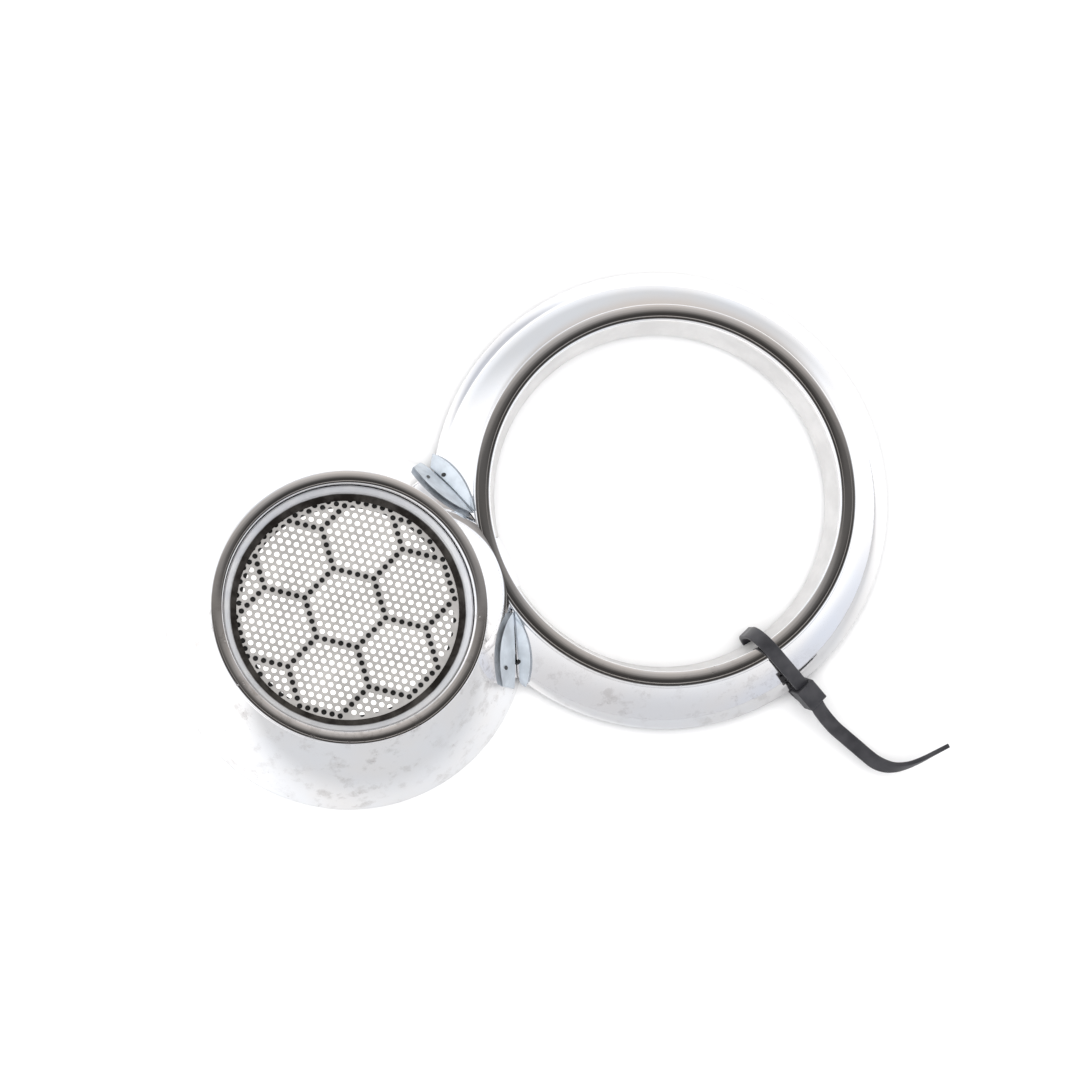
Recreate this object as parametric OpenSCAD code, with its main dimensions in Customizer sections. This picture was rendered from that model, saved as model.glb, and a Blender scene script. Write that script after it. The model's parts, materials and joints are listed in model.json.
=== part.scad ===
// Door tweeter pod joined to an open trim ring, with a cable tie left round the ring.
// Z points out of the face. The ring's axis is Z and the pod lies on -X. Millimetres.

/* [Trim ring] */
// Outer radius of the trim ring at its foot
ring_outer_r = 57.2; // [56:0.1:59]
// Radius of the middle of the ring's lip
ring_lip_r = 46; // [45.5:0.1:46.5]
// Height of the lip's crest above the resting plane
ring_height = 12.5; // [12:0.1:14]
// Half of the width of the ring's crowned lip
ring_lip_half = 2.1; // [1.8:0.1:2.3]
// Clear radius through the sleeve at the back of the ring
ring_bore_r = 41.6; // [41:0.1:42]

/* [Tweeter pod] */
// Distance from the ring's axis to the pod's centre
pod_offset = 85.3; // [84:0.1:87]
// Radius of the pod at its foot
pod_outer_r = 45; // [44:0.1:46]
// Height of the pod's mouth along its own axis
pod_height = 22; // [21.5:0.1:24]
// Radius of the middle of the mouth's lip
pod_lip_r = 32.7; // [32.5:0.05:33]
// Half of the width of the mouth's crowned lip
pod_lip_half = 1.7; // [1.5:0.05:1.8]
// Angle that the pod's axis leans off the ring's axis
pod_lean = 5; // [3:0.5:6]
// Direction that the pod leans towards, round Z
pod_lean_dir = 106; // [90:1:120]

/* [Grille] */
// Distance between neighbouring grille holes
hole_pitch = 2.05; // [1.9:0.01:2.2]
// Diameter of a grille hole
hole_d = 1.36; // [1.1:0.02:1.5]
// Direction of the hole rows, round the pod's axis
row_dir = -35.75; // [-60:0.25:0]
// Holes along one side of a honeycomb rib cell
cell_holes = 5; // [3:1:7]
// Width of a honeycomb rib
rib_w = 1.7; // [1.4:0.1:2.2]

/* [Tweeter driver] */
// Radius of the dome at the voice coil
dome_r = 12.5; // [12:0.1:12.8]
// Height of the dome above the coil former
dome_rise = 3.3; // [2.5:0.1:3.5]
// Outer radius of the magnet's steel cup
cup_r = 15.2; // [15:0.1:15.6]

/* [Fixings] */
// Radius of the circle of screw bosses behind the ring
boss_circle_r = 50.5; // [50:0.1:51]
// Radius of the pilot hole in each ring boss
boss_pilot_r = 1.4; // [1.2:0.05:1.6]

/* [Cable tie] */
// Width of the strap
strap_w = 3.6; // [3.2:0.1:4]
// Thickness of the strap
strap_t = 1.1; // [0.9:0.05:1.2]
// Place of the tie round the ring
tie_dir = -77.7; // [-100:0.1:-60]
// Turn of the loop off the ring's radius
tie_skew = 10.5; // [0:0.1:12]

/* [Hidden] */
$fn = 96;
eps = 0.02;
wall = 2;
fit_gap = 0.15;

lip_edge_r = 0.4;
ring_back_z = 2;
ring_lip_z = 10.4;
ring_crown_r = 4.6;
ring_top = [ring_lip_r + ring_lip_half, ring_height - 1.3];
ring_foot = [ring_outer_r, 3.4];
ring_bulge = 0.9;

pod_lip_h = 20.2;
pod_crown_r = 3.7;
pod_top = [pod_lip_r + pod_lip_half, pod_height - 1.15];
pod_bulge = 1.2;
seat_r = 31.4;
shelf_h = 13;
shelf_t = 1.6;
shelf_r = 28.5;
stack_r = seat_r - 0.3;
grille_h = 17;
grille_t = 0.7;
grille_open_r = 27.5;
ledge_r = 26.2;
rib_drop = 2;
scrim_t = 0.4;
plate_h = 10.6;
plate_t = 1.8;
plate_bore_r = 16.3;
ear_r = 34.4;
ear_dirs = [90, 210, 330];
cover_lug_r = 38.6;
cover_lug_dirs = [30, 140, 290];
cover_z = 1.2;
cover_t = 1.6;
former_t = 0.15;
winding_t = 0.25;
cup_h = 4.4;
cup_floor = 1.2;
cup_wall = 2;
magnet_t = 2.5;
pole_t = 1.4;
board_dir = 250;
board_h = 8.8;
board_t = 1.2;
board_mid = 26.5;
socket_out = [11, 7.4];
socket_in = [8.6, 5];
socket_side = -3.4;
socket_low = -1;

// Point on the arc from a to b that stands out by bulge in the middle, at share s.
function arc_radius(a, b, bulge) = (pow(norm(b - a) / 2, 2) + bulge * bulge) / (2 * bulge);
function side_normal(a, b) = let (d = (b - a) / norm(b - a)) [d[1], -d[0]];
function bulged(a, b, bulge, s) =
  let (
    rad = arc_radius(a, b, bulge),
    out = side_normal(a, b),
    mid = (a + b) / 2 - out * (rad - bulge),
    half = asin(norm(b - a) / 2 / rad),
    turn = half * (2 * s - 1),
    along = (b - a) / norm(b - a)
  )
  mid + rad * (cos(turn) * out + sin(turn) * along);
function bulged_side(a, b, bulge, steps, s0 = 0, s1 = 1) =
  [for (i = [0:steps]) bulged(a, b, bulge, s0 + (s1 - s0) * i / steps)];
function arc_points(mid, rad, from, to, steps) =
  [for (i = [0:steps]) let (a = from + (to - from) * i / steps) mid + rad * [cos(a), sin(a)]];

// A lip of half width half, crowned to radius crown, from its outer edge over to its inner edge.
function lip_turn(half, crown) = asin((half - lip_edge_r) / (crown - lip_edge_r));
function lip_edge_mid(mid_r, crest, half, crown, side) =
  [mid_r + side * (half - lip_edge_r), crest - crown + (crown - lip_edge_r) * cos(lip_turn(half, crown))];
function lip_outer(mid_r, crest, half, crown, more) = concat(
  arc_points(lip_edge_mid(mid_r, crest, half, crown, 1), lip_edge_r + more, 0, 90 - lip_turn(half, crown), 4),
  arc_points([mid_r, crest - crown], crown + more, 90 - lip_turn(half, crown) + 1, 90, 4)
);
function lip_inner(mid_r, crest, half, crown, more) = concat(
  arc_points([mid_r, crest - crown], crown + more, 94, 90 + lip_turn(half, crown) - 1, 4),
  arc_points(lip_edge_mid(mid_r, crest, half, crown, -1), lip_edge_r + more, 90 + lip_turn(half, crown), 180, 4)
);
function shifted(points, step) = [for (p = points) p + step];

// ---- shared frames and envelopes ----

module pod_frame() {
  translate([-pod_offset, 0, 0])
    rotate([0, 0, pod_lean_dir])
      rotate([0, pod_lean, 0])
        rotate([0, 0, -pod_lean_dir])
          children();
}

// Side of the pod from below the foot up to the lip, grown outwards by more.
function pod_side(more, steps = 10) =
  shifted(bulged_side([pod_outer_r + 2, -6], pod_top, pod_bulge, steps), [more, 0]);
function ring_side(more, steps = 8) =
  shifted(bulged_side(ring_foot, ring_top, ring_bulge, steps), [more, more * 0.6]);

module pod_solid(more = 0) {
  pod_frame()
    rotate_extrude()
      polygon(concat(
        [[0, -6]],
        pod_side(more),
        lip_outer(pod_lip_r, pod_height, pod_lip_half, pod_crown_r, more),
        [[0, pod_height + more]]
      ));
}

module ring_solid(more = 0) {
  rotate_extrude()
    polygon(concat(
      [[ring_bore_r - more, ring_back_z], [ring_outer_r + more, ring_back_z]],
      ring_side(more),
      lip_outer(ring_lip_r, ring_height, ring_lip_half, ring_crown_r, more),
      lip_inner(ring_lip_r, ring_height, ring_lip_half, ring_crown_r, more)
    ));
}

module pod_slab(low, high) {
  translate([-pod_offset - 60, -60, low]) cube([120, 120, high - low]);
}

// ---- pod ----

module pod_shell_profile() {
  polygon(concat(
    pod_side(0),
    lip_outer(pod_lip_r, pod_height, pod_lip_half, pod_crown_r, 0),
    lip_inner(pod_lip_r, pod_height, pod_lip_half, pod_crown_r, 0),
    [
      [pod_lip_r - pod_lip_half, pod_lip_h - 0.2],
      [seat_r, pod_lip_h - 0.6],
      [seat_r, shelf_h + shelf_t],
      [shelf_r, shelf_h + shelf_t],
      [shelf_r, shelf_h],
      [seat_r + wall, shelf_h],
      [seat_r + wall, pod_lip_h - 3]
    ],
    [for (i = [9:-1:0]) bulged([pod_outer_r + 2, -6], pod_top, pod_bulge, i / 10) - [wall * 1.1, 0]]
  ));
}

module pod_bosses() {
  intersection() {
    pod_solid(-0.3);
    union() {
      pod_frame()
        for (a = ear_dirs)
          rotate(a) translate([ear_r, 0, plate_h + plate_t + 0.05]) cylinder(r = 2.3, h = 7);
      for (a = cover_lug_dirs)
        translate([-pod_offset, 0, 0])
          rotate(a) translate([cover_lug_r, 0, cover_z + cover_t]) cylinder(r = 2.5, h = 12);
    }
  }
}

module pod_housing() {
  color([0.86, 0.87, 0.89])
    difference() {
      union() {
        intersection() {
          pod_frame() rotate_extrude() pod_shell_profile();
          pod_slab(0, 60);
        }
        pod_bosses();
      }
      pod_frame()
        for (a = ear_dirs)
          rotate(a) translate([ear_r, 0, plate_h]) cylinder(r = 0.9, h = 6.4);
      for (a = cover_lug_dirs)
        translate([-pod_offset, 0, 0])
          rotate(a) translate([cover_lug_r, 0, 0]) cylinder(r = 1, h = 9);
    }
}

module grille_bezel() {
  color([0.8, 0.81, 0.84])
    pod_frame()
      rotate_extrude()
        polygon([
          [stack_r + 0.05, grille_h + grille_t + eps],
          [stack_r + 0.05, pod_lip_h - 0.8],
          [stack_r - 0.25, pod_lip_h - 0.5],
          [stack_r - 0.25, pod_lip_h],
          [stack_r - 0.4, pod_lip_h + 0.15],
          [29.4, pod_lip_h - 0.85],
          [29.15, pod_lip_h - 1.15],
          [27.4, grille_h + grille_t + 0.25],
          [27.4, grille_h + grille_t + eps]
        ]);
}

// Centre of the grid of holes, off the pod's axis.
grid_shift = [-0.32, 0.83];
function grid_point(i, j) = hole_pitch * [i + j * cos(60), j * sin(60)];

module grille_mesh() {
  reach = ceil(grille_open_r / hole_pitch * 1.2);
  color([0.72, 0.71, 0.7])
    pod_frame()
      translate([0, 0, grille_h])
        linear_extrude(grille_t)
          difference() {
            circle(r = stack_r);
            translate(grid_shift)
              rotate(row_dir)
                for (i = [-reach:reach])
                  for (j = [-reach:reach])
                    if (norm(grid_point(i, j)) < grille_open_r - 0.3)
                      translate(grid_point(i, j)) circle(d = hole_d, $fn = 16);
          }
}

module grille_ribs() {
  side = cell_holes * hole_pitch;
  color([0.12, 0.12, 0.12])
    pod_frame()
      translate([0, 0, grille_h - rib_drop])
        linear_extrude(rib_drop - eps)
          union() {
            difference() {
              circle(r = stack_r);
              circle(r = ledge_r);
            }
            intersection() {
              circle(r = ledge_r + 0.5);
              translate(grid_shift)
                rotate(row_dir)
                  for (m = [-2:2])
                    for (n = [-2:2])
                      let (c = grid_point(cell_holes * (m - n), cell_holes * (m + 2 * n)))
                        if (norm(c) < 34)
                          translate(c)
                            difference() {
                              circle(r = side + rib_w / 2 / cos(30), $fn = 6);
                              circle(r = side - rib_w / 2 / cos(30), $fn = 6);
                            }
            }
          }
}

module acoustic_scrim() {
  color([0.93, 0.92, 0.9])
    pod_frame()
      translate([0, 0, shelf_h + shelf_t + eps]) cylinder(r = stack_r, h = scrim_t - 2 * eps);
}

// ---- driver ----

module driver_gasket() {
  color([0.1, 0.1, 0.1])
    pod_frame()
      translate([0, 0, plate_h + plate_t])
        difference() {
          cylinder(r = seat_r - 0.2, h = shelf_h - plate_h - plate_t);
          translate([0, 0, -1]) cylinder(r = shelf_r + 0.1, h = 3);
        }
}

module driver_faceplate() {
  color([0.16, 0.16, 0.17])
    pod_frame()
      difference() {
        union() {
          translate([0, 0, plate_h]) cylinder(r = seat_r - 0.1, h = plate_t);
          translate([0, 0, plate_h - 2.6]) cylinder(r = cup_r + 2.2, h = 2.7);
          for (a = ear_dirs)
            rotate(a) translate([ear_r - 4, -2.4, plate_h]) cube([4, 4.8, plate_t]);
          for (a = ear_dirs)
            rotate(a) translate([ear_r, 0, plate_h]) cylinder(r = 2.4, h = plate_t);
        }
        translate([0, 0, plate_h - 4]) cylinder(r = cup_r + 0.05, h = 4.2);
        translate([0, 0, plate_h - 1]) cylinder(r = plate_bore_r, h = 5);
        for (a = ear_dirs)
          rotate(a) translate([ear_r, 0, plate_h - 1]) cylinder(r = 1.3, h = 5);
      }
}

module screw(shank_r, shank_l, head_r, head_h) {
  difference() {
    union() {
      cylinder(r = shank_r, h = shank_l);
      translate([0, 0, -head_h]) cylinder(r = head_r, h = head_h);
    }
    translate([-0.35, -head_r * 0.6, -head_h - 1]) cube([0.7, head_r * 1.2, 1.5]);
    translate([-head_r * 0.6, -0.35, -head_h - 1]) cube([head_r * 1.2, 0.7, 1.5]);
  }
}

module driver_screws() {
  color([0.6, 0.6, 0.62])
    pod_frame()
      for (a = ear_dirs)
        rotate(a) translate([ear_r, 0, plate_h]) screw(0.88, 5.6, 2.1, 1.2);
}

module dome_diaphragm() {
  ball_r = (dome_r * dome_r + dome_rise * dome_rise) / (2 * dome_rise);
  color([0.2, 0.2, 0.22])
    pod_frame()
      translate([0, 0, plate_h])
        intersection() {
          cylinder(r = dome_r, h = dome_rise + 1);
          difference() {
            translate([0, 0, dome_rise - ball_r]) sphere(r = ball_r, $fn = 96);
            translate([0, 0, dome_rise - ball_r]) sphere(r = ball_r - 0.3, $fn = 96);
          }
        }
}

module dome_surround() {
  roll_mid = (dome_r + plate_bore_r) / 2 + 0.01;
  roll_r = (plate_bore_r - dome_r) / 2 - 0.05;
  color([0.12, 0.12, 0.13])
    pod_frame()
      rotate_extrude()
        polygon(concat(
          arc_points([roll_mid, plate_h], roll_r, 0, 180, 8),
          arc_points([roll_mid, plate_h], roll_r - 0.3, 180, 0, 8)
        ));
}

module tube(r_in, r_out, low, high) {
  translate([0, 0, low])
    difference() {
      cylinder(r = r_out, h = high - low);
      translate([0, 0, -1]) cylinder(r = r_in, h = high - low + 2);
    }
}

module coil_former() {
  color([0.55, 0.4, 0.2])
    pod_frame() tube(dome_r - former_t, dome_r, 7.2, plate_h);
}

module coil_winding() {
  color([0.72, 0.4, 0.2])
    pod_frame() tube(dome_r, dome_r + winding_t, 7.4, 9.2);
}

module magnet_cup() {
  color([0.55, 0.56, 0.58])
    pod_frame()
      difference() {
        translate([0, 0, cup_h]) cylinder(r = cup_r, h = 5.1);
        translate([0, 0, cup_h + cup_floor]) cylinder(r = cup_r - cup_wall, h = 5);
      }
}

module magnet_disc() {
  color([0.45, 0.45, 0.47])
    pod_frame()
      translate([0, 0, cup_h + cup_floor]) cylinder(r = dome_r - 1.6, h = magnet_t);
}

module pole_plate() {
  color([0.6, 0.6, 0.62])
    pod_frame()
      translate([0, 0, cup_h + cup_floor + magnet_t]) cylinder(r = dome_r - 0.6, h = pole_t);
}

// ---- crossover and connector ----

module board_frame() {
  pod_frame() rotate(board_dir) translate([board_mid, 0, 0]) children();
}

module tab_places() {
  for (side = [-1, 1]) translate([-5.2, 5.4 * side, 0]) children();
}

module terminal_tabs() {
  color([0.85, 0.7, 0.35])
    board_frame()
      tab_places()
        translate([-0.3, -1.1, board_h - 0.9]) cube([0.6, 2.2, plate_h - board_h + 0.9]);
}

module crossover_board() {
  color([0.1, 0.35, 0.18])
    board_frame()
      difference() {
        translate([-7, -10, board_h]) cube([14, 20, board_t]);
        tab_places() translate([-0.35, -1.15, board_h - 1]) cube([0.7, 2.3, 4]);
      }
}

module crossover_capacitor() {
  color([0.75, 0.2, 0.12])
    board_frame()
      translate([-4.5, 1.6, 2.7]) cube([9.5, 5.4, board_h - 2.7]);
}

module socket_frame() {
  board_frame() translate([1, socket_side, 0]) children();
}

module connector_shroud() {
  color([0.92, 0.9, 0.84])
    socket_frame()
      difference() {
        translate([-socket_out[0] / 2, -socket_out[1] / 2, socket_low])
          cube([socket_out[0], socket_out[1], board_h - socket_low]);
        translate([-socket_in[0] / 2, -socket_in[1] / 2, socket_low - 1])
          cube([socket_in[0], socket_in[1], 7.5]);
        translate([-1.2, -socket_out[1] / 2 - 1, socket_low - 1]) cube([2.4, 3, 4]);
        for (side = [-1, 1])
          translate([1.27 * side - 0.35, -0.35, socket_low]) cube([0.7, 0.7, 12]);
      }
}

module connector_pins() {
  color([0.8, 0.68, 0.4])
    socket_frame()
      for (side = [-1, 1])
        translate([1.27 * side - 0.32, -0.32, socket_low + 1]) cube([0.64, 0.64, 8.75]);
}

// ---- back of the pod ----

// Space inside the pod's wall, shrunk by gap.
module pod_cavity(gap) {
  pod_frame()
    rotate_extrude()
      polygon(concat(
        [[0, -6]],
        [for (i = [0:7]) bulged([pod_outer_r + 2, -6], pod_top, pod_bulge, i / 10) - [wall * 1.1 + gap, 0]],
        [[0, 14]]
      ));
}

module cover_seal() {
  color([0.15, 0.15, 0.15])
    difference() {
      intersection() {
        pod_cavity(0.1);
        pod_slab(cover_z + cover_t, cover_z + cover_t + 1);
      }
      pod_cavity(2);
      for (a = cover_lug_dirs)
        translate([-pod_offset, 0, 0])
          rotate(a) translate([cover_lug_r, 0, 0]) cylinder(r = 2.6, h = 12);
    }
}

module rear_cover() {
  color([0.1, 0.1, 0.11])
    difference() {
      intersection() {
        pod_cavity(0.25);
        pod_slab(cover_z, cover_z + cover_t);
      }
      socket_frame()
        translate([-socket_out[0] / 2 - 0.3, -socket_out[1] / 2 - 0.3, -6])
          cube([socket_out[0] + 0.6, socket_out[1] + 0.6, 12]);
      for (a = cover_lug_dirs)
        translate([-pod_offset, 0, 0])
          rotate(a) translate([cover_lug_r, 0, 0]) cylinder(r = 1.5, h = 9);
    }
}

module cover_screws() {
  color([0.6, 0.6, 0.62])
    for (a = cover_lug_dirs)
      translate([-pod_offset, 0, 0])
        rotate(a) translate([cover_lug_r, 0, cover_z]) screw(0.98, 7, 2.2, 1.1);
}

// ---- ring ----

module ring_shell_profile() {
  skirt_low = ring_lip_z - 2.2;
  polygon(concat(
    [[ring_outer_r - 1.8, ring_back_z], [ring_outer_r, ring_back_z]],
    ring_side(0),
    lip_outer(ring_lip_r, ring_height, ring_lip_half, ring_crown_r, 0),
    lip_inner(ring_lip_r, ring_height, ring_lip_half, ring_crown_r, 0),
    [
      [ring_lip_r - ring_lip_half, skirt_low],
      [ring_lip_r - ring_lip_half + 1.4, skirt_low],
      [ring_lip_r - ring_lip_half + 1.4, ring_lip_z - 1.6],
      [ring_lip_r + 0.6, ring_lip_z - 1.2]
    ],
    [for (i = [7:-1:0]) bulged(ring_foot, ring_top, ring_bulge, i / 8) - [1.7, 1]]
  ));
}

module boss_places() {
  for (a = [0, 120, 240]) rotate(a) translate([boss_circle_r, 0, 0]) children();
}

module trim_ring() {
  color([0.87, 0.88, 0.9])
    difference() {
      union() {
        rotate_extrude() ring_shell_profile();
        intersection() {
          ring_solid(-0.3);
          boss_places() translate([0, 0, 2.5]) cylinder(r = 3, h = 12);
        }
        boss_places() cylinder(r = 3, h = 4);
      }
      boss_places() translate([0, 0, -1]) cylinder(r = boss_pilot_r, h = 7.5);
      pod_solid(fit_gap);
    }
}

module ring_sleeve() {
  color([0.84, 0.82, 0.8])
    difference() {
      union() {
        rotate_extrude()
          polygon([
            [ring_bore_r, ring_back_z + 0.4],
            [ring_bore_r + 0.4, ring_back_z],
            [ring_outer_r - 2.4, ring_back_z],
            [ring_outer_r - 2.4, ring_back_z + 1.2],
            [ring_bore_r + 1.6, ring_back_z + 1.2],
            [ring_lip_r - ring_lip_half + 1.3, ring_lip_z - 2.4],
            [ring_lip_r - ring_lip_half + 0.1, ring_lip_z - 2.4]
          ]);
      }
      boss_places() translate([0, 0, -1]) cylinder(r = 3.1, h = 6);
      pod_solid(fit_gap);
    }
}

module push_nuts() {
  color([0.55, 0.56, 0.58])
    boss_places()
      translate([0, 0, ring_back_z - 0.5])
        difference() {
          cylinder(r = 5, h = 0.48);
          translate([0, 0, -1]) cylinder(r = 3.02, h = 3);
          for (k = [0:5]) rotate(k * 60) translate([3, -0.25, -1]) cube([1.1, 0.5, 3]);
        }
}

// ---- flanges where the two mouldings meet ----

// Outer and inner end of the seam between pod and ring, on the +Y side.
seam_out = [-51.9, 30.6];
seam_in = [-46.4, 13.2];

// Plan of one flange: a leaf on one side of the seam, blunt at its outer end.
module leaf(width, hand) {
  run = seam_in - seam_out;
  long = norm(run);
  chord = 1.35 * long;
  rad = (chord * chord / 4 + width * width) / (2 * width);
  translate(seam_out)
    rotate(atan2(run[1], run[0]))
      intersection() {
        translate([long - chord / 2, hand * (width - rad)]) circle(r = rad);
        translate([0, hand > 0 ? 0.22 : -width - 0.22]) square([long, width]);
      }
}

module both_sides() {
  children();
  mirror([0, 1, 0]) children();
}

module pod_flanges() {
  color([0.66, 0.69, 0.72])
    difference() {
      intersection() {
        pod_solid(1);
        both_sides() translate([0, 0, 2.2]) linear_extrude(18) leaf(5, -1);
      }
      pod_solid(eps);
      ring_solid(0.1);
      flange_pin_holes(0.52);
    }
}

module ring_flanges() {
  color([0.66, 0.69, 0.72])
    difference() {
      intersection() {
        ring_solid(0.9);
        both_sides() translate([0, 0, 2.2]) linear_extrude(18) leaf(3.6, 1);
      }
      ring_solid(eps);
      pod_solid(1.1);
      flange_pin_holes(0.52);
    }
}

module flange_pin_holes(r) {
  both_sides()
    for (p = [[-53.6, 25.6], [-49.2, 25]])
      translate([p[0], p[1], 3]) cylinder(r = r, h = 16);
}

module flange_pins() {
  color([0.25, 0.26, 0.28])
    difference() {
      intersection() {
        flange_pin_holes(0.5);
        union() {
          pod_solid(1.1);
          ring_solid(1);
        }
      }
      pod_solid(eps);
      ring_solid(eps);
    }
}

// ---- cable tie ----

pitch = 19;
crest_arc = [[-0.9, 8.35], 5.4];
inner_arc = [[-2.7, 4.85], 4.15];
outer_arc = [[11.8, 5.05], 4];
crest_exit = crest_arc[0] + crest_arc[1] * [cos(90 - pitch), sin(90 - pitch)];
head_mid = [14.9, crest_exit[1] - (14.9 - crest_exit[0]) * tan(pitch)];
head_size = [6, 5.3, 5.2];

module tie_frame() {
  rotate(tie_dir) translate([ring_lip_r, 0, 0]) rotate(tie_skew) children();
}

// Edge of the loop, grow outside the middle of the strap, from under the head round to the head.
function loop_edge(grow) = concat(
  arc_points(outer_arc[0], outer_arc[1] + grow, 1.65 - 5.4 * grow, -90, 6),
  arc_points(inner_arc[0], inner_arc[1] + grow, -90, -180, 6),
  arc_points(crest_arc[0], crest_arc[1] + grow, 180, 90 - pitch, 9),
  [head_mid + grow * [sin(pitch), cos(pitch)] + 3.4 * [cos(pitch), -sin(pitch)]]
);
function backwards(list) = [for (i = [len(list) - 1:-1:0]) list[i]];

// Middle line of the tail past the head, in the ring's frame, with the strap's turn.
tail_route = [
  [16.52, -60.95, 7.77], [17.2, -64, 6.6], [18.8, -68.2, 5.6], [20.7, -71.7, 5.1], [22.6, -75.1, 4.8],
  [24.1, -77.8, 4.5], [25.6, -80.2, 4.4], [27.6, -82.1, 4.4], [29.9, -83.3, 4.5], [32.9, -83.9, 4.6],
  [36.4, -83.9, 4.8], [40.4, -83.5, 5], [44.3, -83.1, 5.2]
];
tail_turn = [0, 0, 2, 4, 7, 12, 26, 48, 66, 78, 84, 88, 88];
tail_width = [0.98, 1, 1, 1, 1, 1, 1, 1, 1, 0.95, 0.85, 0.7, 0.5];

function unit(v) = v / norm(v);
function tail_ring(i) =
  let (
    last = len(tail_route) - 1,
    ahead = unit(tail_route[min(i + 1, last)] - tail_route[max(i - 1, 0)]),
    side = unit(cross([0, 0, 1], ahead)),
    up = cross(ahead, side),
    across = side * cos(tail_turn[i]) + up * sin(tail_turn[i]),
    thick = cross(ahead, across),
    w = strap_w / 2 * tail_width[i],
    t = strap_t / 2
  )
  [for (c = [[-1, -1], [1, -1], [1, 1], [-1, 1]]) tail_route[i] + across * (w * c[0]) + thick * (t * c[1])];

module tie_tail() {
  last = len(tail_route) - 1;
  polyhedron(
    points = [for (i = [0:last]) each tail_ring(i)],
    faces = concat(
      [[0, 1, 2, 3]],
      [for (i = [0:last - 1]) for (k = [0:3])
        let (a = 4 * i + k, b = 4 * i + (k + 1) % 4) each [[b + 4, b, a], [a + 4, b + 4, a]]],
      [[4 * last + 3, 4 * last + 2, 4 * last + 1, 4 * last]]
    )
  );
}

module head_frame() {
  tie_frame() translate([head_mid[0], 0, head_mid[1]]) rotate([0, pitch, 0]) children();
}

module tie_strap() {
  color([0.09, 0.09, 0.1])
    union() {
      tie_frame()
        rotate([90, 0, 0])
          translate([0, 0, -strap_w / 2])
            linear_extrude(strap_w)
              polygon(concat(loop_edge(strap_t / 2), backwards(loop_edge(-strap_t / 2))));
      tie_tail();
    }
}

// Pocket for the pawl, open to the strap's slot.
pawl_pocket = [4, 2.4, 1.4];
pawl_pivot = [1.5, -1.3];

module tie_head() {
  color([0.08, 0.08, 0.09])
    head_frame()
      difference() {
        translate([-head_size[0] / 2, -head_size[1] / 2, -3]) cube(head_size);
        translate([-5, -strap_w / 2 - 0.1, -strap_t / 2 - 0.1]) cube([10, strap_w + 0.2, strap_t + 0.2]);
        translate([-2, -pawl_pocket[1] / 2, -2]) cube(pawl_pocket);
      }
}

module tie_pawl() {
  color([0.1, 0.1, 0.11])
    head_frame()
      rotate([90, 0, 0])
        translate([0, 0, -1])
          linear_extrude(2)
            union() {
              polygon([[1.45, -1.55], [1.45, -1.05], [-1.5, -0.74], [-1.5, -1.05], [-0.9, -1.3]]);
              translate(pawl_pivot) circle(r = 0.3);
            }
}

pod_housing();
grille_bezel();
grille_mesh();
grille_ribs();
acoustic_scrim();
driver_gasket();
driver_faceplate();
driver_screws();
dome_diaphragm();
dome_surround();
coil_former();
coil_winding();
magnet_cup();
magnet_disc();
pole_plate();
terminal_tabs();
crossover_board();
crossover_capacitor();
connector_shroud();
connector_pins();
cover_seal();
rear_cover();
cover_screws();
trim_ring();
ring_sleeve();
push_nuts();
pod_flanges();
ring_flanges();
flange_pins();
tie_strap();
tie_head();
tie_pawl();
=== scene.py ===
import json
import math

import bmesh
import bpy
import numpy as np
from mathutils import Matrix, Vector
from mathutils.geometry import delaunay_2d_cdt

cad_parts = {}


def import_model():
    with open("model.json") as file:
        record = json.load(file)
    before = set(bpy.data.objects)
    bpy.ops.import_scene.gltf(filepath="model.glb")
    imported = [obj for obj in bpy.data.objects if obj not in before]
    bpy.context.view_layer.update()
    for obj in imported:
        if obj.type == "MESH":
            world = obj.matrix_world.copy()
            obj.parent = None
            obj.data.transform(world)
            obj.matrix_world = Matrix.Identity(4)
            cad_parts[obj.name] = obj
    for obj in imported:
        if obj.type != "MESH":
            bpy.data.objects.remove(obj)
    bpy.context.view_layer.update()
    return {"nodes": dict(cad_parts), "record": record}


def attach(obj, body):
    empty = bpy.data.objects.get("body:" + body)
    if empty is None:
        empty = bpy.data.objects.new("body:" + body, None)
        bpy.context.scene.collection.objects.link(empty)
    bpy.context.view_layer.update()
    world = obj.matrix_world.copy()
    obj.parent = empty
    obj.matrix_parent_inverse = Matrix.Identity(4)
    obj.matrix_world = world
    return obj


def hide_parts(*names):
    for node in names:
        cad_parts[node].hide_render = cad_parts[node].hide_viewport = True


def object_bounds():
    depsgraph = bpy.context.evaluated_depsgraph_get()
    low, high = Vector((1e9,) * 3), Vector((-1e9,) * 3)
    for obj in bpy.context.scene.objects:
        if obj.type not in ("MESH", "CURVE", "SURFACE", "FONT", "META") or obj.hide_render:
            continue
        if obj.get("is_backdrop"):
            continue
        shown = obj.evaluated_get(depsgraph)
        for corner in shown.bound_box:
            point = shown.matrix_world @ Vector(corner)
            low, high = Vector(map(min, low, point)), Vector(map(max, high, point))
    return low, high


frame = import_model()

MM = 0.001
scene = bpy.context.scene
scene.view_settings.view_transform = "Standard"
scene.view_settings.look = "None"


def rad(a):
    return math.radians(a)


# ---- camera, at the photograph's viewing angle ----
# Picture axes: X to the right and Y up in the picture, Z up off the floor.
PICTURE_TURN = Matrix.Rotation(rad(-22.0), 3, "Z")
TILT, TILT_DIR = 11.0, 223.0
CAMERA_DISTANCE = 2.5
FIELD = 0.2684
AIM = Vector((-31.41, 1.80, 0)) * MM


def picture(x, y, z):
    """A direction given in picture axes, in the row frame."""
    return PICTURE_TURN @ Vector((x, y, z))


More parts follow.
